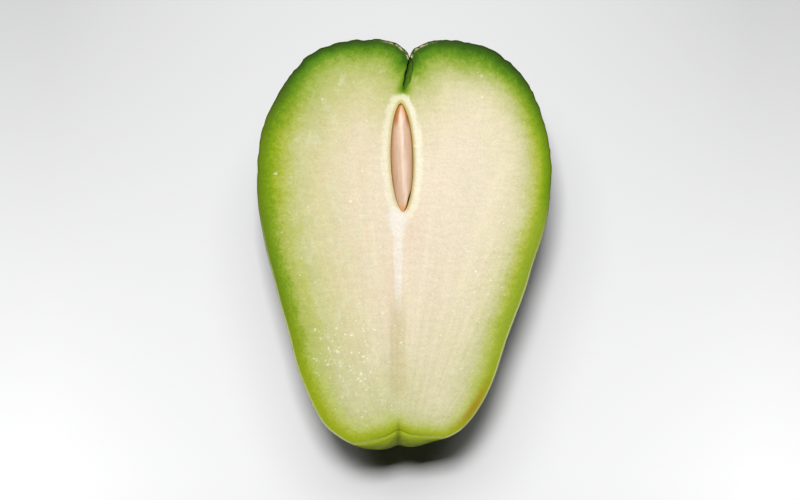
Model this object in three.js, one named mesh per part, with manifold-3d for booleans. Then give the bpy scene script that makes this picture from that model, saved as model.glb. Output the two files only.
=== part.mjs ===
// Half of a chayote, the green squash also sold as a vegetable pear, cut lengthwise through its one flat
// seed. It lies on its rounded back with the cut face up. The skin, the flesh and the lining of the seed
// pocket grew as one piece, so they are one solid. The seed half is loose in its pocket, so it is a solid of
// its own.
//
// Frame: millimetres, +Z up, origin at the middle of the flat spot that it rests on. +Y points to the blossom
// end, where the cleft is, and -Y to the stem end. Inside this file each piece is first made in the fruit's
// own frame: the cut face at z = 0, the stem end at y = 0 and the seed near x = 0. One group then moves both.

import * as THREE from "three";
import { mergeVertices } from "three/addons/utils/BufferGeometryUtils.js";
import Module from "manifold-3d";

// ---- Driving dimensions ----

// The fruit
const LENGTH = 112; // stem end to the top of the two blossom-end lobes
const WIDTH = 80; // across the cut face at its widest
const HALF_DEPTH = 42; // cut face to the deepest point of the back, before it is flattened
const FLAT_DEPTH = 0.5; // what the flat spot takes off the back

// The cleft: a rounded valley between the lobes, and the narrow slit that goes on from its bottom
const VALLEY_DEPTH = 5.8;
const VALLEY_HALF_WIDTH = 11.5;
const CLEFT_X = 2.1; // where the valley meets the cut face
const CLEFT_DEPTH = 13.8; // top of the lobes to the bottom of the slit
const CLEFT_REACH = 34; // how far the cleft runs down the back, below the cut face
const SLIT_GAP = 1.5; // at its widest, halfway down
const SLIT_MOUTH = 1; // how far the slit's rounded end reaches out past the valley, which sets its mouth
const SLIT_SLANT = THREE.MathUtils.degToRad(12); // its bottom leans to -X
const SLIT_UNDERCUT = THREE.MathUtils.degToRad(10); // and it leans the same way below the cut face

// The stem end: a shallow pit round the scar of the stem, with a small notch
const PIT_DEPTH = 4.8;
const PIT_HALF_WIDTH = 13;
const PIT_HALF_HEIGHT = 9;
const PIT_X = -1;
const PIT_STEEPNESS = 1.5; // exponent of its wall: 1 gives a sharp brink, 2 a soft one
const NOTCH_DEPTH = 1.1;
const NOTCH_HALF_WIDTH = 2;
const NOTCH_HALF_HEIGHT = 14;

// Furrows along the back
const FURROW_DEPTH = 1;
const FURROW_SPREAD = THREE.MathUtils.degToRad(9);
const FURROW_ANGLES = [38, 142].map(THREE.MathUtils.degToRad); // from +X, round the back
const BACK_FURROW_END = 0.72; // share of the length where the cleft's own furrow has faded out

// The seed half, and its pocket
const SEED_LENGTH = 29.4;
const SEED_THICKNESS = 5.6;
const SEED_DEPTH = 10; // half of the flat seed's breadth
const SEED_CROWN = 0.8; // height of its bulging cut face over its own edge
const SEED_RECESS = 0.15; // top of that bulge below the cut face
const SEED_CLEARANCE = 0.3;
const SEED_LEAN = THREE.MathUtils.degToRad(1.3); // its upper tip leans to -X
const WALL_ABOVE_SEED = 3.5; // flesh between the slit and the pocket
const TIP_POINTEDNESS = 0.6; // 0.5 gives an ellipse, 1 a lens with sharp tips

// ---- Resolution ----
const SEGMENTS_ROUND = 128;
const CROWDING = 0.55; // how much closer the points of the rim stand at its two ends than on average
const RINGS_DOWN = 26;
const SEED_SEGMENTS = 36;
const SEED_RINGS = 20;
const SLIT_SEGMENTS = 24;

// Outline of the cut face without its cleft and pit, counter-clockwise from the point over the cleft:
// [share of half the width, share of the length]
const OUTLINE = [
  [(2 * CLEFT_X) / WIDTH, 1.004], [-0.3, 1], [-0.57, 0.975], [-0.79, 0.9], [-0.95, 0.78],
  [-0.99, 0.65], [-0.93, 0.49], [-0.8, 0.315], [-0.68, 0.167], [-0.53, 0.06], [-0.35, 0.013],
  [-0.16, -0.0125], [0.08, -0.007], [0.23, 0.016], [0.4, 0.046], [0.57, 0.124], [0.72, 0.27],
  [0.89, 0.44], [1.01, 0.6], [1, 0.75], [0.87, 0.885], [0.62, 0.976], [0.3, 1],
];

// How full the back is towards each end: the exponent of a superellipse, 2 being an ellipse
const FULLNESS_SIDES = 2.05;
const FULLNESS_BLOSSOM = 2.2;
const FULLNESS_STEM = 2;
const NECK_SLIMMING = 0.09; // share that the back loses towards the stem end, which makes it pear-shaped
const BELLY_SHIFT = 1.7; // from the middle of the cut face to the deepest point, over which the half balances

const COLOURS = { fruit: 0x8fae3c, seed: 0xdcb48c };

const wasm = await Module();
wasm.setup();

// ---- From three.js geometry to a solid and back ----

function solidOf(geometry) {
  const bare = geometry.clone();
  bare.deleteAttribute("normal");
  bare.deleteAttribute("uv");
  const merged = mergeVertices(bare, 1e-4);
  return new wasm.Manifold(
    new wasm.Mesh({
      numProp: 3,
      vertProperties: new Float32Array(merged.attributes.position.array),
      triVerts: new Uint32Array(merged.index.array),
    }),
  );
}

function geometryOf(solid) {
  const mesh = solid.getMesh();
  const geometry = new THREE.BufferGeometry();
  geometry.setAttribute("position", new THREE.BufferAttribute(mesh.vertProperties, 3));
  geometry.setIndex(new THREE.BufferAttribute(mesh.triVerts, 1));
  geometry.computeVertexNormals();
  return geometry;
}

// Moves every vertex of a geometry to move(vertex).
function reshape(geometry, move) {
  const position = geometry.attributes.position;
  const vertex = new THREE.Vector3();
  for (let i = 0; i < position.count; i++) {
    move(vertex.fromBufferAttribute(position, i));
    position.setXYZ(i, vertex.x, vertex.y, vertex.z);
  }
  return geometry;
}

// ---- The fruit half ----

const outline = new THREE.CatmullRomCurve3(
  OUTLINE.map(([across, along]) => new THREE.Vector3((across * WIDTH) / 2, along * LENGTH, 0)),
  true,
);
outline.arcLengthDivisions = 2000;

// The rim's points, closer together at the cleft and at the pit than along the smooth sides.
function rimPoints() {
  const points = [];
  for (let i = 0; i < SEGMENTS_ROUND; i++) {
    const share = i / SEGMENTS_ROUND;
    const crowded = share - (CROWDING * Math.sin(4 * Math.PI * share)) / (4 * Math.PI);
    points.push(outline.getPointAt(crowded));
  }
  return points;
}
const RIM = rimPoints();

// The middle of the area inside a closed run of points.
function middleOf(points) {
  let area = 0;
  const middle = new THREE.Vector3();
  for (let i = 0; i < points.length; i++) {
    const [p, q] = [points[i], points[(i + 1) % points.length]];
    const twice = p.x * q.y - q.x * p.y;
    area += twice / 2;
    middle.x += ((p.x + q.x) * twice) / 6;
    middle.y += ((p.y + q.y) * twice) / 6;
  }
  return middle.divideScalar(area);
}
const MIDDLE = middleOf(RIM).add(new THREE.Vector3(0, BELLY_SHIFT, 0));

const cutHeight = HALF_DEPTH - FLAT_DEPTH;

// How far the rounded valley takes the blossom end down: two quarter rounds that meet in a crease.
function valleyAt(x, z) {
  const share = Math.min(1, Math.abs(x - CLEFT_X) / VALLEY_HALF_WIDTH);
  const fade = Math.max(0, 1 - (z / CLEFT_REACH) ** 2);
  return VALLEY_DEPTH * fade * (1 - Math.sqrt(1 - (1 - share) ** 2));
}

// How far the pit and its notch take the stem end up.
function pitAt(x, z) {
  const away = ((x - PIT_X) / PIT_HALF_WIDTH) ** 2 + (z / PIT_HALF_HEIGHT) ** 2;
  const pit = PIT_DEPTH * Math.max(0, 1 - away) ** PIT_STEEPNESS;
  const notch = NOTCH_DEPTH * Math.exp(-(((x - PIT_X) / NOTCH_HALF_WIDTH) ** 2));
  return pit + notch * Math.exp(-((z / NOTCH_HALF_HEIGHT) ** 2));
}

// How far the furrows draw the back in, at a share of the length and a reach from the fruit's long axis.
function furrowAt(angle, share, reach) {
  const groove = (at) => Math.exp(-(((angle - at) / FURROW_SPREAD) ** 2));
  const ends = 0.35 + 0.65 * (2 * share - 1) ** 2;
  const back = 1.5 * THREE.MathUtils.smoothstep(share, BACK_FURROW_END, 1) * groove(Math.PI / 2);
  const depth = FURROW_DEPTH * (ends * (groove(FURROW_ANGLES[0]) + groove(FURROW_ANGLES[1])) + back);
  return depth * THREE.MathUtils.smoothstep(reach, 0, 1.5 * PIT_HALF_WIDTH);
}

function fullnessAt(sine) {
  const ends = (FULLNESS_BLOSSOM + FULLNESS_STEM) / 2 - FULLNESS_SIDES;
  return FULLNESS_SIDES + ((FULLNESS_BLOSSOM - FULLNESS_STEM) / 2) * sine + ends * sine * sine;
}

// A lathe makes the bowl: its profile runs from the bottom up the back to the rim and then straight in to the
// axis. Each ring is then drawn out from a circle to the outline, and given its depth.
function fruitBody() {
  const profile = [];
  for (let ring = 0; ring <= RINGS_DOWN; ring++) {
    const angle = (ring / RINGS_DOWN) * (Math.PI / 2);
    profile.push(new THREE.Vector2(Math.sin(angle), -Math.cos(angle)));
  }
  profile.push(new THREE.Vector2(0, 0));
  profile[0].x = 0;
  profile[RINGS_DOWN].y = 0;

  const bowl = new THREE.LatheGeometry(profile, SEGMENTS_ROUND).rotateX(Math.PI / 2);
  return reshape(bowl, (v) => {
    const radius = Math.hypot(v.x, v.y);
    const turn = Math.atan2(v.y, v.x) / (2 * Math.PI);
    const step = Math.round((turn - 0.25 + 1) * SEGMENTS_ROUND) % SEGMENTS_ROUND;
    const edge = RIM[step].clone().sub(MIDDLE);
    const sine = edge.y / Math.max(edge.length(), 1e-9);
    const fullness = fullnessAt(sine);
    const onBack = v.z < 0;
    const spread = onBack ? radius ** (2 / fullness) : radius;
    const slimming = NECK_SLIMMING * Math.max(0, -sine) ** 2 * Math.sin(Math.PI * spread ** 2);
    const x = MIDDLE.x + edge.x * spread;
    const z = onBack ? -HALF_DEPTH * (1 - slimming) * (-v.z) ** (2 / fullness) : 0;
    // The cut face takes its edge from the rim, so it moves in step with it.
    const along = MIDDLE.y + edge.y * spread;
    const level = onBack ? 1 : spread;
    const edgeX = onBack ? x : RIM[step].x;
    const end = edge.y > 0 ? -valleyAt(edgeX, z) : pitAt(edgeX, z);
    v.set(x, along + level * end, z);
    if (onBack) {
      const angle = Math.atan2(-v.z, v.x);
      const reach = Math.hypot(v.x, v.z);
      const drawn = 1 - furrowAt(angle, along / LENGTH, reach) / Math.max(reach, 1e-9);
      v.x *= drawn;
      v.z *= drawn;
    }
  });
}

// A thin ellipsoid on edge cuts the slit, from just outside the crease of the valley to the cleft's bottom.
function slitCutter() {
  const slitDepth = CLEFT_DEPTH - VALLEY_DEPTH;
  const halfLength = (slitDepth + SLIT_MOUTH) / 2;
  const blade = new THREE.SphereGeometry(1, SLIT_SEGMENTS, SLIT_SEGMENTS);
  blade.scale(SLIT_GAP / 2, halfLength, CLEFT_REACH);
  blade.translate(0, halfLength - slitDepth, 0);
  blade.rotateZ(-SLIT_SLANT);
  blade.rotateY(SLIT_UNDERCUT);
  return blade.translate(CLEFT_X, LENGTH - VALLEY_DEPTH, 0);
}

// The block that takes off the back below the flat spot.
function floorBlock() {
  const thickness = 3 * HALF_DEPTH;
  const block = new THREE.BoxGeometry(3 * WIDTH, 3 * LENGTH, thickness);
  return block.translate(0, LENGTH / 2, -cutHeight - thickness / 2);
}

// ---- The seed half and its pocket ----

// A flat seed on edge, grown by a margin on every side: its cut face bulges up by crown.
function seedShape(margin, crown) {
  const halfLength = SEED_LENGTH / 2 + margin;
  const halfThickness = SEED_THICKNESS / 2 + margin;
  const shape = new THREE.SphereGeometry(1, SEED_SEGMENTS, SEED_RINGS);
  reshape(shape, (v) => {
    const round = Math.sqrt(Math.max(0, 1 - v.y * v.y));
    const narrowing = round > 1e-6 ? round ** (2 * TIP_POINTEDNESS - 1) : 0;
    v.x *= halfThickness * narrowing;
    v.z *= (v.z > 0 ? crown : SEED_DEPTH + margin) * narrowing;
    v.y *= halfLength;
  });
  const upperTip = LENGTH - CLEFT_DEPTH - WALL_ABOVE_SEED - SEED_CLEARANCE;
  return shape.rotateZ(SEED_LEAN).translate(0, upperTip - SEED_LENGTH / 2, -SEED_CROWN - SEED_RECESS);
}

function fruitHalf() {
  return solidOf(fruitBody())
    .subtract(solidOf(slitCutter()))
    .subtract(solidOf(seedShape(SEED_CLEARANCE, SEED_DEPTH)))
    .subtract(solidOf(floorBlock()));
}

// ---- Assembly ----

function meshOf(name, geometry, colour, roughness) {
  const material = new THREE.MeshStandardMaterial({ color: colour, roughness, metalness: 0 });
  const mesh = new THREE.Mesh(geometry, material);
  mesh.name = name;
  return mesh;
}

const chayoteHalf = new THREE.Group();
chayoteHalf.add(meshOf("fruit_half", geometryOf(fruitHalf()), COLOURS.fruit, 0.45));
chayoteHalf.add(meshOf("seed_half", seedShape(0, SEED_CROWN), COLOURS.seed, 0.35));
chayoteHalf.position.set(-MIDDLE.x, -MIDDLE.y, cutHeight);

export default chayoteHalf;
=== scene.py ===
"""Half of a chayote, the green squash also sold as a vegetable pear, lying cut face up on a table."""

import logging
import math
from dataclasses import dataclass
from enum import Enum

import bpy
import numpy as np
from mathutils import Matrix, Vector, noise
from mathutils.kdtree import KDTree


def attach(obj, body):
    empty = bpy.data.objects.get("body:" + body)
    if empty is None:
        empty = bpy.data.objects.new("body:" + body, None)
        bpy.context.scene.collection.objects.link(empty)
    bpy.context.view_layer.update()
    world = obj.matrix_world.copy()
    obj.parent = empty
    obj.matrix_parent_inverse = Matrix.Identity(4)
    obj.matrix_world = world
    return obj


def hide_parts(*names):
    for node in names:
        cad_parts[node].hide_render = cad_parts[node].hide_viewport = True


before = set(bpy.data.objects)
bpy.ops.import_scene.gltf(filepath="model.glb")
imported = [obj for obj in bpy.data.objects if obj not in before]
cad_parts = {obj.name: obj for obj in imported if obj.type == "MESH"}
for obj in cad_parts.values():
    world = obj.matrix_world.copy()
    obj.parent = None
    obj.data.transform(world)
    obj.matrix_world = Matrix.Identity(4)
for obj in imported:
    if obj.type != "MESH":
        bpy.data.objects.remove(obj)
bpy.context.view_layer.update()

log = logging.getLogger("chayote")

MM = 0.001
SMOOTH_BELOW = math.radians(50)  # edges that turn by less are shaded smooth
Colour = tuple[float, float, float]
Stops = list[tuple[float, str]]  # positions from 0 to 1, each with its colour


def from_hex(code: str) -> Colour:
    """Turns a colour such as "99af4f" into the linear values that a shader takes.

    Args:
        code: Six hexadecimal digits, red first.

    Returns:
        Linear red, green and blue.
    """
    parts = [int(code[i : i + 2], 16) / 255 for i in (0, 2, 4)]
    red, green, blue = (p / 12.92 if p <= 0.04045 else ((p + 0.055) / 1.055) ** 2.4 for p in parts)
    return red, green, blue


# -------------------- shader expressions


class Value:
    """One output of a shader node, which Python expressions can add, multiply and compare."""

    def __init__(self, graph: "Graph", socket: bpy.types.NodeSocket) -> None:
        """Wraps a socket of the graph."""
        self.graph = graph
        self.socket = socket

    def _math(self, operation: str, *terms: "Value | float") -> "Value":
        """Adds one Math node with the terms as its inputs, and returns its result."""
        return self.graph.add("ShaderNodeMath", {"operation": operation}, dict(enumerate(terms)))

    def __add__(self, other: "Value | float") -> "Value":
        """Returns self + other."""
        return self._math("ADD", self, other)

    def __radd__(self, other: float) -> "Value":
        """Returns other + self."""
        return self._math("ADD", other, self)

    def __sub__(self, other: "Value | float") -> "Value":
        """Returns self - other."""
        return self._math("SUBTRACT", self, other)

    def __rsub__(self, other: float) -> "Value":
        """Returns other - self."""
        return self._math("SUBTRACT", other, self)

    def __mul__(self, other: "Value | float") -> "Value":
        """Returns self * other."""
        return self._math("MULTIPLY", self, other)

    def __rmul__(self, other: float) -> "Value":
        """Returns other * self."""
        return self._math("MULTIPLY", other, self)

    def __truediv__(self, other: "Value | float") -> "Value":
        """Returns self / other."""
        return self._math("DIVIDE", self, other)

    def __pow__(self, other: "Value | float") -> "Value":
        """Returns self to the power of other."""
        return self._math("POWER", self, other)

    def __neg__(self) -> "Value":
        """Returns minus self."""
        return self._math("MULTIPLY", self, -1.0)

    def size(self) -> "Value":
        """Returns the value without its sign."""
        return self._math("ABSOLUTE", self)

    def least(self, other: "Value | float") -> "Value":
        """Returns the smaller of the two."""
        return self._math("MINIMUM", self, other)

    def most(self, other: "Value | float") -> "Value":
        """Returns the larger of the two."""
        return self._math("MAXIMUM", self, other)

    def rise(self, start: float, end: float) -> "Value":
        """Rises smoothly from 0 to 1 while the value goes from start to end.

        Args:
            start: Where the result is 0.
            end: Where the result is 1. It may be below start, for a fall.

        Returns:
            A value from 0 to 1.
        """
        if end < start:
            return 1.0 - self.rise(end, start)
        settings = {"interpolation_type": "SMOOTHSTEP", "clamp": True}
        return self.graph.add("ShaderNodeMapRange", settings, {0: self, 1: start, 2: end})

    def bell(self, centre: "Value | float", reach: "Value | float") -> "Value":
        """Returns a peak of 1 where the value is centre, which falls to a third at reach from it."""
        away = (self - centre) / reach
        return self._math("EXPONENT", -(away * away))


class Graph:
    """The node tree of one material."""

    def __init__(self, name: str) -> None:
        """Starts an empty tree in a new material.

        Args:
            name: The material's name.
        """
        self.material = bpy.data.materials.new(name)
        self.material.use_nodes = True
        self.tree = self.material.node_tree
        self.tree.nodes.clear()

    def add(
        self,
        kind: str,
        settings: dict[str, object] | None = None,
        inputs: dict[str | int, object] | None = None,
        output: str | int = 0,
    ) -> Value:
        """Adds one node, sets it up and links or fills its inputs.

        Args:
            kind: The node's type.
            settings: The node's own settings. "stops" holds a ramp's positions and colours.
            inputs: A value or another node's Value for each named or numbered input.
            output: Which output to return.

        Returns:
            That output.
        """
        node = self.tree.nodes.new(kind)
        for key, setting in (settings or {}).items():
            if key == "stops":
                self._fill_ramp(node.color_ramp, setting)
            else:
                setattr(node, key, setting)
        for key, given in (inputs or {}).items():
            if isinstance(given, Value):
                self.tree.links.new(given.socket, node.inputs[key])
            else:
                node.inputs[key].default_value = given
        return Value(self, node.outputs[output] if len(node.outputs) else None)

    @staticmethod
    def _fill_ramp(ramp: bpy.types.ColorRamp, stops: Stops) -> None:
        """Sets a ramp's stops.

        Args:
            ramp: The ramp of a Color Ramp node.
            stops: Positions from 0 to 1, each with its colour.
        """
        while len(ramp.elements) < len(stops):
            ramp.elements.new(0.5)
        for element, (position, code) in zip(ramp.elements, stops):
            element.position = position
            element.color = (*from_hex(code), 1.0)

    def place(self) -> tuple[Value, Value, Value]:
        """Reads the object's own coordinates.

        Returns:
            x, y and z in millimetres.
        """
        coordinates = self.add("ShaderNodeTexCoord", output="Object")
        inputs = {0: coordinates, "Scale": 1 / MM}
        scaled = self.add("ShaderNodeVectorMath", {"operation": "SCALE"}, inputs)
        split = self.add("ShaderNodeSeparateXYZ", None, {0: scaled})
        x, y, z = (Value(self, output) for output in split.socket.node.outputs)
        return x, y, z

    def vector(self, x: "Value | float", y: "Value | float", z: "Value | float") -> Value:
        """Returns a vector of three values."""
        return self.add("ShaderNodeCombineXYZ", None, {0: x, 1: y, 2: z})

    def stored(self, name: str) -> Value:
        """Returns a number that is stored on the mesh's vertices."""
        return self.add("ShaderNodeAttribute", {"attribute_name": name}, None, "Fac")

    def cloud(self, where: Value, scale: float, detail: float = 2.0, roughness: float = 0.5) -> Value:
        """Returns soft noise from 0 to 1, of scale swells to a millimetre and detail finer layers."""
        inputs = {"Vector": where, "Scale": scale, "Detail": detail, "Roughness": roughness}
        return self.add("ShaderNodeTexNoise", None, inputs, "Fac")

    def ramp(self, value: Value, stops: Stops) -> Value:
        """Returns the colour that a ramp gives for a value."""
        return self.add("ShaderNodeValToRGB", {"stops": stops}, {0: value}, "Color")

    def mix(self, share: Value, first: Value, second: Value | tuple[float, ...]) -> Value:
        """Returns two colours mixed, with a share of the second one."""
        settings = {"data_type": "RGBA", "clamp_factor": True}
        return self.add("ShaderNodeMix", settings, {0: share, 6: first, 7: second}, 2)

    def lay(self, share: Value, colour: Value, code: str) -> Value:
        """Returns a colour with a share of a plain one, such as "99af4f", laid over it."""
        return self.mix(share, colour, (*from_hex(code), 1.0))

    def shade(self, colour: Value | Colour, factor: Value) -> Value:
        """Multiplies a colour by a value."""
        grey = self.vector(factor, factor, factor)
        return self.add("ShaderNodeVectorMath", {"operation": "MULTIPLY"}, {0: colour, 1: grey})

    def spots(self, where: Value, scale: float) -> Value:
        """Returns the distance to the nearest of many points that are scattered 1 / scale apart."""
        return self.add("ShaderNodeTexVoronoi", None, {"Vector": where, "Scale": scale}, "Distance")

    def bump(
        self, height: Value, millimetres: float, strength: float, below: Value | None = None
    ) -> Value:
        """Tilts the surface's normals by a height.

        Args:
            height: The height, from 0 to 1.
            millimetres: How high 1 stands.
            strength: How much of the effect shows.
            below: Normals of a coarser bump that this one lies on.

        Returns:
            The tilted normals.
        """
        inputs = {"Height": height, "Distance": millimetres * MM, "Strength": strength}
        if below is not None:
            inputs["Normal"] = below
        return self.add("ShaderNodeBump", None, inputs, "Normal")

    def surface(self, **inputs: object) -> bpy.types.Material:
        """Finishes the material with one Principled shader.

        Args:
            inputs: The shader's inputs, with _ for each space in their names.

        Returns:
            The finished material.
        """
        named = {key.replace("_", " "): given for key, given in inputs.items()}
        shader = self.add("ShaderNodeBsdfPrincipled", None, named)
        self.add("ShaderNodeOutputMaterial", None, {"Surface": shader})
        return self.material


# -------------------- finishes


class Zone(Enum):
    """The zones of the fruit's length, each with its own fade from green rind to cream flesh."""

    BLOSSOM = "263f0c 34550d 406a10 5a8a12 7a9f26 a0b648 bdc470 d5d292 e5daae eddfbf"
    SIDE = "5c7612 6a8610 74950e 84a50f a3b42a bcc35a d0cf90 e2d8a8 eee0be f5e5cb"
    STEM = "8b9c1a 98a81a 9fae1a adb938 bcc662 c8cc80 d1cf9a dad5a6 e0d8b2 e4dab4"


@dataclass(frozen=True)
class CutFace:
    """What the flesh's colour follows: places and distances in millimetres, and four noises."""

    graph: Graph
    where: Value
    x: Value  # across the fruit
    y: Value  # along the fruit, towards the blossom end
    z: Value
    rim: Value  # distance to the rim of the cut face
    slit: Value  # distance to the slit
    pocket: Value  # distance to the seed pocket's edge
    patches: Value
    tufts: Value
    grain: Value
    fine: Value


@dataclass(frozen=True)
class Flesh:
    """Moist flesh of the cut face: green under the skin, cream inside, with a pale core."""

    roughness: float = 0.56
    brightness: float = 0.482
    seep: float = 0.12  # share of the light that spreads under the surface
    seep_reach: float = 1.6  # millimetres
    depths: tuple[float, ...] = (0.0, 0.5, 1.3, 2.2, 3.4, 5.0, 7.5, 12.3, 19.0, 30.0)
    # painted glints: the pale colour that the wet spots are mixed towards, and its share
    glint_colour: tuple[float, float, float, float] = (0.64, 0.63, 0.58, 1.0)
    glint_share: float = 0.5
    wet_gloss: float = 0.2  # by which the wet spots are smoother

    def _depth(self, face: CutFace) -> Value:
        """Works out how deep under the skin the flesh looks, which is uneven and smaller at the slit.

        Args:
            face: What the colour follows.

        Returns:
            Millimetres.
        """
        x, y = face.x, face.y
        sideways = 0.87 + x * (0.0065 - 0.0125 * y.rise(33.0, 46.0))
        depth = face.rim * (0.78 + 0.44 * face.patches) * sideways
        depth = depth * (1.0 + 0.6 * x.bell(6.0, 13.0) * y.rise(-42.0, -54.0))
        uneven = (face.grain - 0.5) * 1.6 + (face.tufts - 0.5) * 3.4
        depth = depth + uneven * face.rim.rise(0.2, 4.0)
        return depth.least(face.slit * 2.4 + 0.6)

    def _rind(self, face: CutFace, depth: Value) -> Value:
        """Colours the flesh by its depth under the skin, warmer on the right, with milky swirls.

        Args:
            face: What the colour follows.
            depth: Millimetres to the skin.

        Returns:
            The colour.
        """
        g, x, y = face.graph, face.x, face.y
        places = [stop / self.depths[-1] for stop in self.depths]
        share = depth / self.depths[-1]
        blossom, side, stem = (g.ramp(share, list(zip(places, zone.value.split()))) for zone in Zone)
        lower = g.mix(y.rise(-14.0, -52.0), side, stem)
        colour = g.mix(y.rise(18.0, 46.0), lower, blossom)
        colour = g.lay(x.rise(-6.0, 26.0) * depth.rise(4.0, 14.0) * 0.5, colour, "fdf1d8")
        waist = y.rise(10.0, -4.0) * y.rise(-46.0, -34.0)
        pale = x.rise(-4.0, -20.0) * waist * depth.bell(4.2, 1.5)
        colour = g.lay(pale * 0.4, colour, "c9cb85")
        ripe = x.rise(8.0, 24.0) * waist * depth.rise(4.4, 1.6)
        colour = g.lay(ripe * 0.45, colour, "abb83c")
        drawn = g.vector(x + 7.0 * face.patches, y * 0.6 + 5.0 * face.tufts, 11.0)
        swirls = g.cloud(drawn, 0.34, 4.0, 0.68).rise(0.5, 0.68)
        return g.lay(swirls * depth.rise(3.0, 9.0) * x.rise(24.0, -12.0) * 0.4, colour, "e9ebc6")

    def _core(self, face: CutFace, colour: Value) -> Value:
        """Adds the seed pocket's pale lining, and the white thread, tan stripe and blush below it.

        Args:
            face: What the colour follows.
            colour: The colour so far.

        Returns:
            The new colour.
        """
        g, x, y, pocket = face.graph, face.x, face.y, face.pocket
        ragged = g.cloud(g.vector(x, y * 0.5, 3.0), 0.9, 3.0)
        wide = 1.0 + 1.8 * ragged
        colour = g.lay(pocket.rise(2.4, 0.0) * 0.5, colour, "f0e2a8")
        band = pocket.rise(0.4, 1.3) * (pocket - wide).rise(1.2, 0.0)
        colour = g.lay(band * (0.6 + 0.3 * x.rise(-2.0, 3.0)), colour, "fffade")
        brink = pocket.bell(0.0, 0.5) * (0.45 + 0.35 * x.rise(-2.0, 2.5))
        colour = g.lay(brink, colour, "b89c34")
        middle = x + 1.1 + 0.9 * (ragged - 0.5)
        spread = 0.7 + 2.0 * y.rise(-6.0, 1.0)
        funnel = (middle.size() / spread).rise(1.3, 0.5) * y.rise(-9.0, -4.0) * y.rise(6.0, 2.5)
        slim = 0.8 + 0.35 * y.rise(-22.0, -5.0)
        thread = (middle.size() / slim).rise(1.5, 0.6) * y.rise(-26.0, -17.0) * y.rise(1.0, -4.0)
        colour = g.lay(funnel.most(thread * 0.85) * 0.85, colour, "fff8ec")
        stripe = middle.size().rise(2.8, 1.5) * y.rise(-16.0, -28.0) * y.rise(-52.0, -42.0)
        colour = g.lay(stripe * 0.42, colour, "c9bc86")
        right = y.bell(-2.0, 9.0) * x.bell(3.5, 3.0) * 0.25
        left = y.bell(-17.0, 10.0) * x.bell(-4.0, 3.0) * 0.2
        return g.lay(right + left, colour, "f0cfb4")

    def _edge(self, face: CutFace, colour: Value) -> Value:
        """Marks the rim: a painted highlight on the cleft's lips, a painted pale highlight along the
        lower rim, the stem's furrow and a brown bruise.

        Args:
            face: What the colour follows.
            colour: The colour so far.

        Returns:
            The new colour.
        """
        g, x, y, rim = face.graph, face.x, face.y, face.rim
        # painted highlight: a broken pale line along the cleft's lips, next to the rim
        painted_lip_highlight = x.bell(2.0, 5.5) * y.rise(41.0, 43.5) * rim.bell(0.45, 0.25)
        colour = g.lay(painted_lip_highlight * face.tufts.rise(0.42, 0.6) * 0.85, colour, "f6efb0")
        # painted highlight: a thin pale line along the lower rim of the cut face
        painted_rim_highlight = y.rise(14.0, -26.0) * rim.bell(0.1, 0.3) * (1.0 - x.bell(-1.0, 11.0))
        colour = g.lay(painted_rim_highlight * 0.75, colour, "eef0b4")
        furrow = x.bell(-1.0, 0.6) * rim.rise(4.0, 0.5) * y.rise(-46.0, -50.0)
        colour = g.lay(furrow * 0.4, colour, "5c6c16")
        bruise = x.bell(19.0, 7.0) * y.bell(-50.0, 7.0) * rim.bell(1.5, 1.1)
        return g.lay(bruise * 0.75, colour, "a8801f")

    def _light_and_dark(self, face: CutFace) -> Value:
        """Makes the grain, the streaks and the fibres that gather at the stem end.

        Args:
            face: What the colour follows.

        Returns:
            A brightness around 1.
        """
        g, x, y = face.graph, face.x, face.y
        streaks = g.cloud(g.vector(x * 0.3 + face.tufts * 1.5, y, 5.0), 0.8, 3.0, 0.6)
        speckle = 1.0 + (face.grain - 0.5) * 0.28 + (face.fine - 0.5) * 0.34 + (streaks - 0.5) * 0.2
        gathered = (x + 1.0) / ((y + 74.0) * 0.02).most(0.25)
        fibres = g.cloud(g.vector(gathered, y * 0.045, 1.0), 0.55, 3.0, 0.62)
        seen = 0.07 + 0.08 * y.rise(6.0, -30.0)
        return speckle * (1.0 + (fibres - 0.5) * 2.0 * seen * face.rim.rise(2.0, 8.0))

    def _wet_glint_spots(self, face: CutFace) -> Value:
        """Scatters small and larger wet spots, which are smoother and painted lighter as glints, most of
        them low on the left and some on the right.

        Args:
            face: What the colour follows.

        Returns:
            A value from 0 to 1.
        """
        g, where, x, y = face.graph, face.where, face.x, face.y
        left = x.bell(-15.0, 15.0) * y.bell(-37.0, 12.0)
        wet_glints = left + 0.45 * x.bell(22.0, 9.0) * y.bell(-17.0, 14.0)
        small = g.spots(where, 0.8).rise(0.24, 0.06)
        small = small * (g.cloud(where, 0.6, 2.0) + 0.2 * wet_glints).rise(0.62, 0.7)
        bent = g.vector(x + 2.4 * face.grain, y + 2.4 * face.tufts, face.z)
        large = g.spots(bent, 0.55).rise(0.26, 0.08)
        large = large * (g.cloud(where, 0.35, 2.0) + 0.24 * wet_glints).rise(0.62, 0.74)
        return small.most(large) * face.rim.rise(2.0, 6.0)

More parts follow.
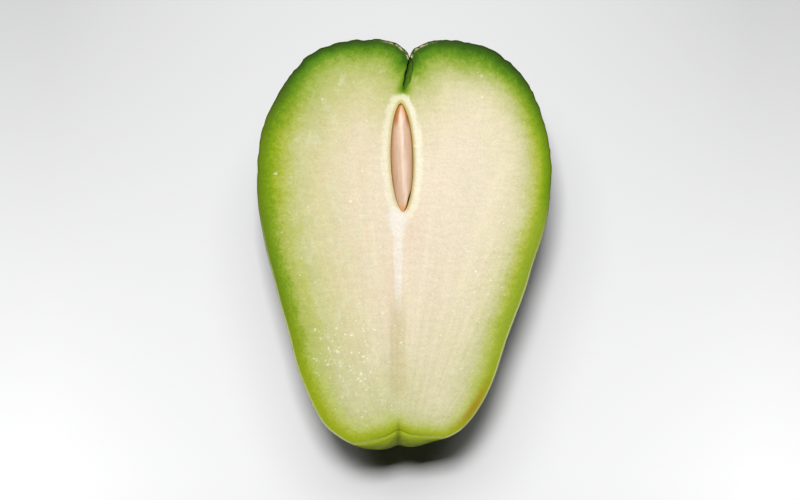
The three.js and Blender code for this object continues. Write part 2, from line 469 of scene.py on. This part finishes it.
    def make(self) -> bpy.types.Material:
        """Builds the shader's nodes.

        Returns:
            The finished material.
        """
        g = Graph("moist flesh")
        x, y, z = g.place()
        where = g.vector(x, y, z)
        face = CutFace(
            g, where, x, y, z,
            rim=g.stored("rim_mm"),
            slit=g.stored("slit_mm"),
            pocket=g.stored("pocket_mm"),
            patches=g.cloud(where, 0.16, 3.0, 0.55),
            tufts=g.cloud(g.vector(x, y, 7.0), 0.6, 4.0, 0.7),
            grain=g.cloud(where, 1.5, 3.0, 0.65),
            fine=g.cloud(where, 4.2, 2.0, 0.7),
        )
        colour = self._rind(face, self._depth(face))
        colour = self._edge(face, self._core(face, colour))
        colour = g.shade(colour, self.brightness * self._light_and_dark(face))
        wet_glints = self._wet_glint_spots(face)
        tilt = g.bump(face.grain, 0.16, 0.6)
        return g.surface(
            # painted glints: the wet spots are mixed towards a pale colour
            Base_Color=g.mix(wet_glints * self.glint_share, colour, self.glint_colour),
            Roughness=self.roughness + (face.grain - 0.5) * 0.3 - wet_glints * self.wet_gloss,
            Normal=g.bump(face.fine, 0.05, 0.6, tilt),
            IOR=1.38,
            Specular_IOR_Level=0.04,
            Subsurface_Weight=self.seep,
            Subsurface_Radius=(1.0, 0.8, 0.45),
            Subsurface_Scale=self.seep_reach * MM,
        )


@dataclass(frozen=True)
class Skin:
    """Thin waxy green skin, darker at the blossom end, with pale pores and fine wrinkles."""

    name: str
    roughness: float = 0.4

    def make(self) -> bpy.types.Material:
        """Builds the shader's nodes.

        Returns:
            The finished material.
        """
        g = Graph(self.name)
        x, y, z = g.place()
        where = g.vector(x, y, z)
        patches = g.cloud(where, 0.07, 3.0, 0.6)
        mottle = g.cloud(where, 0.45, 3.0, 0.6)
        along = (y + 60.0) / 112.0 + (patches - 0.5) * 0.35
        stops = [(0.0, "aebf3c"), (0.22, "9bb132"), (0.5, "7f9e2c"), (0.78, "5f8626"), (1.0, "3f661a")]
        colour = g.ramp(along, stops)
        # painted shade: the skin is darkened towards its underside, near the table
        colour = g.shade(colour, (0.86 + 0.28 * mottle) * (0.22 + 0.63 * z.rise(10.0, 40.0)))
        pores = g.spots(where, 0.42).rise(0.16, 0.07) * g.cloud(where, 0.2, 1.0).rise(0.35, 0.6)
        colour = g.lay(pores * 0.45, colour, "c3cf86")
        rubbed = g.cloud(where, 0.1, 4.0, 0.7).rise(0.66, 0.78)
        colour = g.lay(rubbed * 0.35, colour, "9a8a4a")
        # painted shade: the skin is darkened in the stem pit's hollow
        painted_pit_shade = x.bell(-1.0, 14.0) * y.rise(-50.0, -56.0) * z.rise(18.0, 30.0)
        colour = g.shade(colour, 1.0 - 0.35 * painted_pit_shade)
        edge = z.rise(38.5, 41.3) * y.rise(-42.0, -48.0)
        colour = g.lay(edge * 0.85, colour, "98a722")
        # painted shade: dark colour in the stem end's furrow
        furrow = x.bell(-1.0, 0.8) * y.rise(-46.0, -54.0) * z.rise(32.0, 38.0)
        colour = g.lay(furrow * 0.45, colour, "2c3a0a")
        dull = z.rise(22.0, 34.0) * y.rise(-36.0, -48.0)
        wrinkles = g.cloud(g.vector(x, y, z * 0.35), 0.55, 4.0, 0.6)
        tilt = g.bump(wrinkles, 0.5, 0.5)
        return g.surface(
            Base_Color=colour,
            Roughness=self.roughness + (mottle - 0.5) * 0.16 + dull * 0.45,
            Normal=g.bump(g.cloud(where, 2.6, 2.0, 0.6), 0.05, 0.5, tilt),
            IOR=1.45,
            Specular_IOR_Level=0.09,
            Subsurface_Weight=0.08,
            Subsurface_Radius=(0.8, 1.0, 0.3),
            Subsurface_Scale=1.2 * MM,
        )


@dataclass(frozen=True)
class Lining:
    """Olive gold lining on the inside of the seed pocket."""

    roughness: float = 0.45

    def make(self) -> bpy.types.Material:
        """Builds the shader's nodes.

        Returns:
            The finished material.
        """
        g = Graph("pocket lining")
        x, y, z = g.place()
        grain = g.cloud(g.vector(x, y, z), 1.4, 3.0, 0.6)
        return g.surface(
            Base_Color=g.ramp(grain, [(0.2, "b9962c"), (0.8, "dcb84c")]),
            Roughness=self.roughness,
            Normal=g.bump(grain, 0.15, 0.5),
            IOR=1.4,
            Specular_IOR_Level=0.05,
        )


@dataclass(frozen=True)
class SeedSkin:
    """Smooth wet pinkish tan, with a painted highlight streak along the middle and orange-brown at the
    tips.
    """

    middle_y: float
    half_length: float
    half_width: float = 2.8
    roughness: float = 0.36
    brightness: float = 0.48

    def make(self) -> bpy.types.Material:
        """Builds the shader's nodes.

        Returns:
            The finished material.
        """
        g = Graph("wet seed")
        x, y, z = g.place()
        where = g.vector(x, y, z)
        along = (y - self.middle_y) / self.half_length
        veins = g.cloud(g.vector(x * 1.4, y * 0.22, z), 0.9, 3.0, 0.55)
        # painted highlight: lightest along a slanted, wavy streak down the middle, darker towards the
        # sides
        highlight_streak = (x - 1.3 + y * 0.055 + (veins - 0.5) * 1.2).size()
        colour = g.ramp(highlight_streak / self.half_width, [(0.0, "f0d6c0"), (0.3, "d9b89b"), (1.0, "c49d7c")])
        rim_share = x.size() / ((1.0 - along * along).most(0.02) ** 0.6 * self.half_width)
        brink = rim_share.rise(0.35, 0.75) * along.rise(0.5, 0.72) * 0.9
        tips = along.rise(0.72, 0.96).most(along.rise(-0.8, -0.96))
        colour = g.lay(tips * 0.75, colour, "dd9c52")
        colour = g.lay(brink.most(rim_share.rise(0.8, 1.0) * 0.35), colour, "b0702c")
        colour = g.shade(colour, self.brightness + 0.1 * g.cloud(where, 1.1, 3.0, 0.6))
        return g.surface(
            Base_Color=colour,
            Roughness=self.roughness + (veins - 0.5) * 0.14,
            Normal=g.bump(veins, 0.22, 0.5),
            IOR=1.45,
            Specular_IOR_Level=0.1,
            Subsurface_Weight=0.12,
            Subsurface_Radius=(1.0, 0.6, 0.4),
            Subsurface_Scale=1.0 * MM,
        )


@dataclass(frozen=True)
class TableTop:
    """Plain pale glazed surface under the fruit, with painted light: lighter towards the lower corners,
    darker towards the upper ones.
    """

    colour: Colour = (0.42, 0.42, 0.424)
    half_width: float = 101.0  # where the change towards the corners is full, in millimetres
    half_length: float = 60.0
    # painted light: the gains below lighten the top towards the lower corners and darken it towards the
    # upper ones
    middle_gain: float = 0.09  # how much lighter it is half_length below the fruit's middle
    corner_gain: float = 0.15  # how much lighter than that it is in the lower corners

    def make(self) -> bpy.types.Material:
        """Builds the shader's nodes.

        Returns:
            The finished material.
        """
        g = Graph("pale table top")
        x, y, _ = g.place()
        sideways = (x * x / self.half_width**2).least(1.0)
        near = (y / -self.half_length).least(1.2).most(-1.2)
        painted_light_gain = near * (self.middle_gain + self.corner_gain * sideways)
        return g.surface(Base_Color=g.shade(self.colour, 1.0 + painted_light_gain), Roughness=0.6, IOR=1.3)


# -------------------- modelling helpers


def start_primitive(add: object, name: str, **settings: object) -> bpy.types.Object:
    """Adds a primitive with nothing else selected.

    Args:
        add: The operator that adds it.
        name: The new object's name.
        settings: The operator's settings.

    Returns:
        The new object.
    """
    bpy.ops.object.select_all(action="DESELECT")
    add(**settings)
    made = bpy.context.object
    made.name = name
    made.data.name = name
    return made


def start_ball(name: str, segments: int, rings: int) -> tuple[bpy.types.Object, np.ndarray]:
    """Adds a unit ball.

    Args:
        name: The new object's name.
        segments: Number of segments round it.
        rings: Number of rings from pole to pole.

    Returns:
        The object, and its vertices as rows of x, y and z.
    """
    add = bpy.ops.mesh.primitive_uv_sphere_add
    made = start_primitive(add, name, segments=segments, ring_count=rings, radius=1)
    return made, read_vertices(made)


def pick_only(piece: bpy.types.Object) -> None:
    """Selects one object and makes it the active one.

    Args:
        piece: The object.
    """
    bpy.ops.object.select_all(action="DESELECT")
    piece.select_set(True)
    bpy.context.view_layer.objects.active = piece


def read_vertices(piece: bpy.types.Object) -> np.ndarray:
    """Reads the piece's vertices.

    Args:
        piece: The object whose mesh is read.

    Returns:
        Rows of x, y and z.
    """
    flat = np.empty(len(piece.data.vertices) * 3, dtype=np.float32)
    piece.data.vertices.foreach_get("co", flat)
    return flat.reshape(-1, 3).astype(np.float64)


def write_vertices(piece: bpy.types.Object, places: np.ndarray) -> None:
    """Moves the piece's vertices.

    Args:
        piece: The object whose mesh is changed.
        places: One row for each vertex.
    """
    piece.data.vertices.foreach_set("co", places.astype(np.float32).ravel())
    piece.data.update()


def carve(piece: bpy.types.Object, cutter: bpy.types.Object) -> None:
    """Cuts one shape out of another, keeps the cutter's finish on the walls and removes the cutter.

    Args:
        piece: What is cut.
        cutter: What is taken away.
    """
    pick_only(piece)
    cut = piece.modifiers.new("cut", "BOOLEAN")
    cut.operation = "DIFFERENCE"
    cut.solver = "EXACT"
    cut.material_mode = "TRANSFER"
    cut.object = cutter
    bpy.ops.object.modifier_apply(modifier=cut.name)
    bpy.data.objects.remove(cutter, do_unlink=True)


# -------------------- the fruit


@dataclass
class Outline:
    """The closed outline of the cut face, before its cleft and pit are cut in."""

    width: float = 80.0
    length: float = 112.0
    points: tuple[tuple[float, float], ...] = (
        (0.0525, 1.004), (-0.3, 1), (-0.57, 0.975), (-0.79, 0.9), (-0.95, 0.78), (-0.99, 0.65),
        (-0.93, 0.49), (-0.8, 0.315), (-0.68, 0.167), (-0.53, 0.06), (-0.35, 0.013), (-0.16, -0.0125),
        (0.08, -0.007), (0.23, 0.016), (0.4, 0.046), (0.57, 0.124), (0.72, 0.27), (0.89, 0.44),
        (1.01, 0.6), (1, 0.75), (0.87, 0.885), (0.62, 0.976), (0.3, 1),
    )

    def curve(self, steps: int = 60) -> np.ndarray:
        """Draws a smooth closed curve through the points.

        Args:
            steps: Number of short lines between two points.

        Returns:
            Rows of x and y in millimetres, with the stem end at y = 0.
        """
        knots = np.array(self.points) * (self.width / 2, self.length)
        before, after, beyond = (np.roll(knots, shift, axis=0) for shift in (1, -1, -2))
        pairs = ((before, knots), (knots, after), (after, beyond))
        one, two, three = (np.linalg.norm(b - a, axis=1)[:, None] ** 0.5 for a, b in pairs)
        leave = (knots - before) / one - (after - before) / (one + two) + (after - knots) / two
        arrive = (after - knots) / two - (beyond - knots) / (two + three) + (beyond - after) / three
        leave, arrive = leave * two, arrive * two
        t = (np.arange(steps) / steps)[None, :, None]
        a, b, p, q = leave[:, None], arrive[:, None], knots[:, None], after[:, None]
        drawn = p + a * t + (3 * (q - p) - 2 * a - b) * t**2 + (2 * (p - q) + a + b) * t**3
        return drawn.reshape(-1, 2)

    def at(self, shares: np.ndarray) -> np.ndarray:
        """Finds places on the outline.

        Args:
            shares: Shares of the way round, counter-clockwise from the cleft.

        Returns:
            Rows of x and y in millimetres.
        """
        curve = self.curve()
        closed = np.vstack([curve, curve[:1]])
        walked = np.concatenate([[0.0], np.cumsum(np.linalg.norm(np.diff(closed, axis=0), axis=1))])
        walked /= walked[-1]
        return np.column_stack([np.interp(shares, walked, closed[:, axis]) for axis in (0, 1)])


def smooth_rise(value: np.ndarray, start: float, end: float) -> np.ndarray:
    """Returns a smooth rise from 0 to 1 while value goes from start to end."""
    share = np.clip((value - start) / (end - start), 0, 1)
    return share * share * (3 - 2 * share)


@dataclass
class FruitHalf:
    """The halved fruit: skin, cut face, cleft, slit, stem pit and seed pocket, in one piece."""

    outline: Outline
    seed: "SeedHalf"
    half_depth: float = 42.0
    cut_height: float = 41.5
    valley_depth: float = 5.8
    valley_half_width: float = 11.5
    cleft_x: float = 2.1
    cleft_depth: float = 13.8
    cleft_reach: float = 34.0
    lip_flare: float = 0.16  # share by which the valley's walls bulge out just under the cut face
    lip_span: tuple[float, float] = (0.3, 4.5)  # how far under it the bulge starts and is full
    slit_gap: float = 1.5
    slit_mouth: float = 1.0
    slit_narrowing: float = 0.7  # its width under the cut face, as a share of slit_gap
    slit_flare: float = 1.0  # how far its right wall leans out at the cut face
    slit_wave: float = 0.14
    slit_slant: float = math.radians(12)
    slit_undercut: float = math.radians(10)
    pit_depth: float = 5.6
    pit_half_width: float = 13.0
    pit_half_height: float = 8.5
    pit_x: float = -1.0
    pit_steepness: float = 1.5
    notch_depth: float = 1.1
    notch_half_width: float = 2.0
    notch_half_height: float = 14.0
    furrow_depth: float = 1.0
    furrow_spread: float = math.radians(9)
    furrow_angles: tuple[float, float] = (math.radians(38), math.radians(142))
    furrow_share: float = 0.35  # of its full depth, which a furrow has halfway along
    back_furrow_start: float = 0.72  # share of the length
    back_furrow_depth: float = 1.5  # next to the others
    fold_low: float = 0.06  # height of the skin's folds at the stem end
    fold_gain: float = 0.36  # how much higher they are at the blossom end
    swell_height: float = 0.35
    fullness: tuple[float, float, float] = (2.0, 2.05, 2.2)  # stem, sides, blossom
    neck_slimming: float = 0.09
    belly_shift: float = 1.7
    edge_round: float = 0.3
    face_crowding: float = 0.35  # how much closer the cut face's rings stand near its rim
    crowding: float = 0.55  # how much closer the segments stand at the stem and the blossom end
    calm: float = 3.0  # height over the flat spot below which the folds fade out
    around: int = 360
    rings: int = 196

    def middle(self) -> np.ndarray:
        """Finds the deepest point of the back, which lies under the middle of the cut face.

        Returns:
            Its x and y in millimetres.
        """
        p = self.outline.curve()
        q = np.roll(p, -1, axis=0)
        twice = p[:, 0] * q[:, 1] - q[:, 0] * p[:, 1]
        centre = ((p + q) * twice[:, None]).sum(axis=0) / (3 * twice.sum())
        return centre + (0, self.belly_shift)

    def to_row(self, places: np.ndarray) -> np.ndarray:
        """Returns places of the fruit's own frame, in millimetres, in the object's frame, in metres."""
        return (places - (*self.middle(), -self.cut_height)) * MM

    def valley(self, x: np.ndarray, z: np.ndarray) -> np.ndarray:
        """Works out how far the rounded valley of the cleft takes the blossom end down.

        Args:
            x: Places across the fruit, in millimetres.
            z: Heights over the cut face, in millimetres.

        Returns:
            Millimetres.
        """
        share = np.minimum(1, np.abs(x - self.cleft_x) / self.valley_half_width)
        fade = np.maximum(0, 1 - (z / self.cleft_reach) ** 2)
        lip = 1 - self.lip_flare * smooth_rise(-z, *self.lip_span)
        return self.valley_depth * fade * lip * (1 - np.sqrt(1 - (1 - share) ** 2))

    def pit(self, x: np.ndarray, z: np.ndarray) -> np.ndarray:
        """Works out how far the stem pit and its notch draw the stem end in, towards the blossom end.

        Args:
            x: Places across the fruit, in millimetres.
            z: Heights over the cut face, in millimetres.

        Returns:
            Millimetres.
        """
        away = ((x - self.pit_x) / self.pit_half_width) ** 2 + np.abs(z) / self.pit_half_height
        pit = self.pit_depth * np.maximum(0, 1 - away) ** self.pit_steepness
        notch = self.notch_depth * np.exp(-(((x - self.pit_x) / self.notch_half_width) ** 2))
        return pit + notch * np.exp(-((z / self.notch_half_height) ** 2))

    def furrow(self, angle: np.ndarray, share: np.ndarray, reach: np.ndarray) -> np.ndarray:
        """Works out how far the furrows draw the back in.

        Args:
            angle: Turn round the fruit's long axis.
            share: Share of the length, from the stem end.
            reach: Distance from the long axis, in millimetres.

        Returns:
            Millimetres.
        """
        turns = (*self.furrow_angles, math.pi / 2)
        first, second, back = (np.exp(-(((angle - turn) / self.furrow_spread) ** 2)) for turn in turns)
        ends = self.furrow_share + (1 - self.furrow_share) * (2 * share - 1) ** 2
        back = self.back_furrow_depth * back * smooth_rise(share, self.back_furrow_start, 1)
        depth = ends * (first + second) + back
        return self.furrow_depth * depth * smooth_rise(reach, 0, 1.5 * self.pit_half_width)

    def wrinkle(self, places: np.ndarray) -> np.ndarray:
        """Works out the height of the skin's small folds, which are strongest round the blossom end.

        Args:
            places: Rows of x, y and z in millimetres.

        Returns:
            A height in millimetres for each row.
        """
        share = places[:, 1] / self.outline.length
        strength = self.fold_low + self.fold_gain * smooth_rise(share, 0.5, 0.95)
        folds = [
            noise.noise(Vector((x * 0.36, y * 0.36, z * 0.12)))
            + 0.5 * noise.noise(Vector((x * 0.8, y * 0.8, z * 0.3 + 9)))
            for x, y, z in places
        ]
        swells = [noise.noise(Vector((x * 0.07, y * 0.07, z * 0.07 + 4))) for x, y, z in places]
        return strength * np.array(folds) + self.swell_height * np.array(swells)

    def rim(self, shares: np.ndarray) -> np.ndarray:
        """Draws the edge of the cut face, cleft and pit included.

        Args:
            shares: Shares of the way round, counter-clockwise from the cleft.

        Returns:
            Rows of x and y in millimetres.
        """
        edge = self.outline.at(shares)
        flat = np.zeros(len(edge))
        blossom = edge[:, 1] > self.middle()[1]
        edge[:, 1] += np.where(blossom, -self.valley(edge[:, 0], flat), self.pit(edge[:, 0], flat))
        inward = edge - self.middle()
        inward /= np.linalg.norm(inward, axis=1)[:, None]
        folds = self.wrinkle(np.column_stack([edge, flat]))
        return edge + inward * folds[:, None]

    def body_places(self, unit: np.ndarray) -> np.ndarray:
        """Turns a unit ball into the fruit, its lower half into the back and its upper into the cut face.

        Args:
            unit: Rows of x, y and z on the ball.

        Returns:
            Rows of x, y and z in the fruit's own frame, in millimetres.
        """
        middle = self.middle()
        radius = np.hypot(unit[:, 0], unit[:, 1])
        turn = (np.arctan2(unit[:, 1], unit[:, 0]) / (2 * math.pi) - 0.25) % 1.0
        shares = turn - self.crowding * np.sin(4 * math.pi * turn) / (4 * math.pi)
        edge = self.outline.at(shares) - middle
        sine = edge[:, 1] / np.linalg.norm(edge, axis=1)
        stem, sides, blossom = self.fullness
        power = 2 / (sides + (blossom - stem) / 2 * sine + ((blossom + stem) / 2 - sides) * sine**2)
        spread = radius**power
        slimming = self.neck_slimming * np.maximum(0, -sine) ** 2 * np.sin(math.pi * spread**2)
        x = middle[0] + edge[:, 0] * spread
        y = middle[1] + edge[:, 1] * spread
        z = -self.half_depth * (1 - slimming) * np.maximum(0, -unit[:, 2]) ** power
        z = np.maximum(z, -self.cut_height)
        share = y / self.outline.length
        y = y + np.where(edge[:, 1] > 0, -self.valley(x, z), self.pit(x, z))
        reach = np.maximum(np.hypot(x, z), 1e-6)
        drawn = 1 - self.furrow(np.arctan2(-z, x), share, reach) / reach
        back = np.column_stack([x * drawn, y, np.maximum(z * drawn, -self.cut_height)])
        outward = back - (middle[0], middle[1], 0)
        outward /= np.maximum(np.linalg.norm(outward, axis=1), 1e-6)[:, None]
        fade = smooth_rise(-back[:, 2], self.cut_height, self.cut_height - self.calm)
        back += outward * (self.wrinkle(back) * fade)[:, None]
        back[:, 2] = np.clip(back[:, 2], -self.cut_height, -self.edge_round)

        polar = np.arccos(np.clip(unit[:, 2], -1, 1)) / (math.pi / 2)
        inner = self.face_crowding * np.sin(polar * math.pi / 2) + (1 - self.face_crowding) * polar
        rim = self.rim(shares)
        face = middle + (rim - middle) * inner[:, None]
        gap = np.linalg.norm(rim - face, axis=1)
        near = np.maximum(0, self.edge_round - gap)
        drop = self.edge_round - np.sqrt(np.maximum(0, self.edge_round**2 - near**2))
        front = np.column_stack([face, -drop])
        return np.where(unit[:, 2:] < -1e-6, back, front)

    def blade(self, finish: bpy.types.Material) -> bpy.types.Object:
        """Makes the thin shape that cuts the slit.

        Args:
            finish: The skin on the slit's walls.

        Returns:
            The cutter.
        """
        cutter, unit = start_ball("slit", 64, 96)
        slit_depth = self.cleft_depth - self.valley_depth
        half_length = (slit_depth + self.slit_mouth) / 2
        x = unit[:, 0] * self.slit_gap / 2
        y = unit[:, 1] * half_length + half_length - slit_depth
        z = unit[:, 2] * self.cleft_reach
        x = x + self.slit_wave * np.sin(y * 2.1) * smooth_rise(-y, 0, 2.5)
        lean = self.slit_flare * np.maximum(0, unit[:, 0]) * smooth_rise(z, -4.5, 0.5)
        x = x * self.slit_narrowing + lean
        c, s = math.cos(self.slit_slant), math.sin(self.slit_slant)
        x, y = x * c + y * s, y * c - x * s
        c, s = math.cos(self.slit_undercut), math.sin(self.slit_undercut)
        x, z = x * c + z * s, z * c - x * s
        place = (self.cleft_x, self.outline.length - self.valley_depth, 0)
        write_vertices(cutter, self.to_row(np.column_stack([x, y, z]) + place))
        cutter.data.materials.append(finish)
        return cutter

    def store_depths(self, fruit: bpy.types.Object) -> None:
        """Stores each vertex's distance to the rim, the slit and the seed pocket, in millimetres.

        Args:
            fruit: The finished fruit.
        """
        places = read_vertices(fruit)[:, :2] / MM
        edge = self.rim(np.linspace(0, 1, 3600, endpoint=False)) - self.middle()
        down = np.linspace(0, 1, 60)[:, None]
        crease = np.array([self.cleft_x, self.outline.length - self.valley_depth]) - self.middle()
        slant = np.array([math.sin(self.slit_slant), math.cos(self.slit_slant)])
        tip = crease - (self.cleft_depth - self.valley_depth) * slant
        lines = {
            "rim_mm": edge,
            "slit_mm": crease + (tip - crease) * down,
            "pocket_mm": self.seed.pocket_edge() - self.middle(),
        }
        for name, line in lines.items():
            tree = KDTree(len(line))
            for i, (x, y) in enumerate(line):
                tree.insert((x, y, 0), i)
            tree.balance()
            away = [tree.find((x, y, 0))[2] for x, y in places]
            layer = fruit.data.attributes.new(name, "FLOAT", "POINT")
            layer.data.foreach_set("value", np.array(away, dtype=np.float32))

    def build(self) -> bpy.types.Object:
        """Makes the fruit and its finishes.

        Returns:
            The finished object.
        """
        skin = Skin("waxy skin").make()
        flesh = Flesh().make()
        fruit, unit = start_ball("fruit", self.around, self.rings)
        write_vertices(fruit, self.to_row(self.body_places(unit)))
        fruit.data.materials.append(skin)
        fruit.data.materials.append(flesh)
        upper = unit[:, 2] > -1e-6
        for face in fruit.data.polygons:
            face.material_index = int(all(upper[i] for i in face.vertices))
        carve(fruit, self.blade(Skin("slit skin").make()))
        carve(fruit, self.seed.cutter(self, Lining().make()))
        pick_only(fruit)
        bpy.ops.object.shade_smooth_by_angle(angle=SMOOTH_BELOW)
        self.store_depths(fruit)
        return fruit


# -------------------- the seed


@dataclass
class SeedHalf:
    """The halved flat seed, and the pocket that it lies in."""

    outline: Outline
    length: float = 29.4
    thickness: float = 5.6
    depth: float = 10.0
    crown: float = 0.8
    recess: float = 0.15
    clearance: float = 0.3
    lean: float = math.radians(1.3)
    pointedness: float = 0.6
    swell: float = 0.2  # how much nearer the pocket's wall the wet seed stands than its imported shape
    unevenness: float = 0.16  # of its crown
    shrinkage: float = 0.22  # share by which its right side is drawn in near the lower tip
    pocket_top: float = 17.3  # below the top of the lobes

    def middle_y(self) -> float:
        """Returns the middle of the seed, from the stem end, in millimetres."""
        return self.outline.length - self.pocket_top - self.clearance - self.length / 2

    def shaped(self, unit: np.ndarray, margin: float, crown: float) -> np.ndarray:
        """Turns a unit ball, with its poles on y, into the seed grown by a margin.

        Args:
            unit: Rows of x, y and z on the ball.
            margin: How much is added on every side, in millimetres.
            crown: How high its cut face bulges, in millimetres.

        Returns:
            Rows of x, y and z in the fruit's own frame, in millimetres.
        """
        round_there = np.sqrt(np.maximum(0, 1 - unit[:, 1] ** 2))
        narrow = np.maximum(round_there, 1e-6) ** (2 * self.pointedness - 1)
        x = unit[:, 0] * (self.thickness / 2 + margin) * narrow
        z = unit[:, 2] * np.where(unit[:, 2] > 0, crown, self.depth + margin) * narrow
        y = unit[:, 1] * (self.length / 2 + margin)
        c, s = math.cos(self.lean), math.sin(self.lean)
        places = np.column_stack([x * c - y * s, x * s + y * c, z])
        return places + (0, self.middle_y(), -self.crown - self.recess)

    def pocket_edge(self) -> np.ndarray:
        """Draws the pocket's edge on the cut face.

        Returns:
            Rows of x and y in the fruit's own frame.
        """
        turn = np.linspace(0, 2 * math.pi, 400, endpoint=False)
        unit = np.column_stack([np.cos(turn), np.sin(turn), np.zeros(len(turn))])
        return self.shaped(unit, self.clearance, self.depth)[:, :2]

    def ball(self, name: str, steps: int) -> tuple[bpy.types.Object, np.ndarray]:
        """Adds a unit ball with its poles on y, and with as many segments as rings."""
        made, unit = start_ball(name, steps, steps)
        return made, unit[:, [0, 2, 1]] * (1, 1, -1)

    def cutter(self, fruit: FruitHalf, finish: bpy.types.Material) -> bpy.types.Object:
        """Makes the shape of the pocket.

        Args:
            fruit: The fruit that it is cut from.
            finish: The lining of its walls.

        Returns:
            The cutter.
        """
        made, unit = self.ball("pocket", 96)
        write_vertices(made, fruit.to_row(self.shaped(unit, self.clearance, self.depth)))
        made.data.materials.append(finish)
        return made

    def build(self, fruit: FruitHalf) -> bpy.types.Object:
        """Makes the seed half and its finish.

        Args:
            fruit: The fruit that it lies in.

        Returns:
            The finished object.
        """
        made, unit = self.ball("seed", 128)
        places = self.shaped(unit, self.swell, self.crown)
        uneven = np.array([noise.noise(Vector((x * 0.35, y * 0.16, 2.0))) for x, y, _ in places])
        on_crown = np.maximum(0, unit[:, 2]) * np.sqrt(np.maximum(0, 1 - unit[:, 1] ** 2))
        places[:, 2] += self.unevenness * uneven * on_crown
        shrunk = self.shrinkage * smooth_rise(-unit[:, 1], 0.55, 0.8) * np.maximum(0, unit[:, 0])
        places[:, 0] -= shrunk * self.thickness / 2
        write_vertices(made, fruit.to_row(places))
        row_middle = self.middle_y() - fruit.middle()[1]
        made.data.materials.append(SeedSkin(row_middle, self.length / 2).make())
        pick_only(made)
        bpy.ops.object.shade_smooth_by_angle(angle=SMOOTH_BELOW)
        return made


# -------------------- the setting


@dataclass(frozen=True)
class SoftLight:
    """One oblong soft light that hangs over the table, turned towards the fruit."""

    name: str
    place: tuple[float, float, float]  # its middle, in metres
    size: tuple[float, float]  # across and along, in metres
    watts: float

    def hang(self, target: Vector) -> None:
        """Hangs the light.

        Args:
            target: The place that it is turned towards, in metres.
        """
        data = bpy.data.lights.new(self.name, "AREA")
        data.shape = "RECTANGLE"
        data.size, data.size_y = self.size
        data.energy = self.watts
        lamp = bpy.data.objects.new(self.name, data)
        lamp.location = self.place
        lamp.rotation_euler = (target - Vector(self.place)).to_track_quat("-Z", "Y").to_euler()
        bpy.context.collection.objects.link(lamp)


@dataclass
class Studio:
    """Pale table top, soft light from above the blossom end, and a camera that looks straight down."""

    lights: tuple[SoftLight, ...] = (
        SoftLight("strip", (-0.048, 0.26, 1.2), (0.22, 0.165), 20.6),
        SoftLight("window", (-0.05, 0.54, 1.2), (1.0, 0.4), 12.5),
    )
    lit_height: float = 0.03
    room_colour: Colour = (0.93, 0.95, 1.0)
    room_strength: float = 0.015
    table_size: float = 6.0
    cut_height: float = 0.0415
    camera_x: float = -0.00055
    camera_y: float = -0.00723
    focal: float = 120.0
    sensor: float = 36.0
    frame_width: float = 0.21856  # how much of the cut face's level the frame's width takes in

    def table_top(self) -> None:
        """Lays the table top under the fruit."""
        top = start_primitive(bpy.ops.mesh.primitive_plane_add, "table_top", size=self.table_size)
        top.data.materials.append(TableTop().make())

    def room(self) -> bpy.types.World:
        """Makes the surroundings, which give very little light of their own.

        Returns:
            The world.
        """
        world = bpy.data.worlds.new("dim room")
        world.use_nodes = True
        background = world.node_tree.nodes["Background"]
        background.inputs["Color"].default_value = (*self.room_colour, 1.0)
        background.inputs["Strength"].default_value = self.room_strength
        return world

    def camera(self) -> bpy.types.Object:
        """Hangs the camera over the fruit, looking straight down.

        Returns:
            The camera.
        """
        data = bpy.data.cameras.new("camera")
        data.lens = self.focal
        data.sensor_width = self.sensor
        camera = bpy.data.objects.new("camera", data)
        distance = self.focal * self.frame_width / self.sensor
        camera.location = (self.camera_x, self.camera_y, self.cut_height + distance)
        bpy.context.collection.objects.link(camera)
        return camera

    def build(self) -> None:
        """Sets up the table top, the lights, the surroundings and the camera."""
        self.table_top()
        for light in self.lights:
            light.hang(Vector((0, 0, self.lit_height)))
        bpy.context.scene.world = self.room()
        bpy.context.scene.view_settings.view_transform = "Standard"
        bpy.context.scene.camera = self.camera()


def main() -> None:
    """Builds the studio, the fruit half and the seed half in order and reports each piece."""
    logging.basicConfig(level=logging.INFO, format="%(name)s: %(message)s")
    Studio().build()
    outline = Outline()
    seed = SeedHalf(outline)
    fruit = FruitHalf(outline, seed)
    pieces = [
        (fruit.build(), "fruit_half", "skin_and_flesh"),
        (seed.build(fruit), "seed_half", "seed"),
    ]
    for piece, node, slot in pieces:
        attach(piece, "root")
        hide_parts(node)
        log.info("%s: %d faces", piece.name, len(piece.data.polygons))


if __name__ == "__main__":
    main()
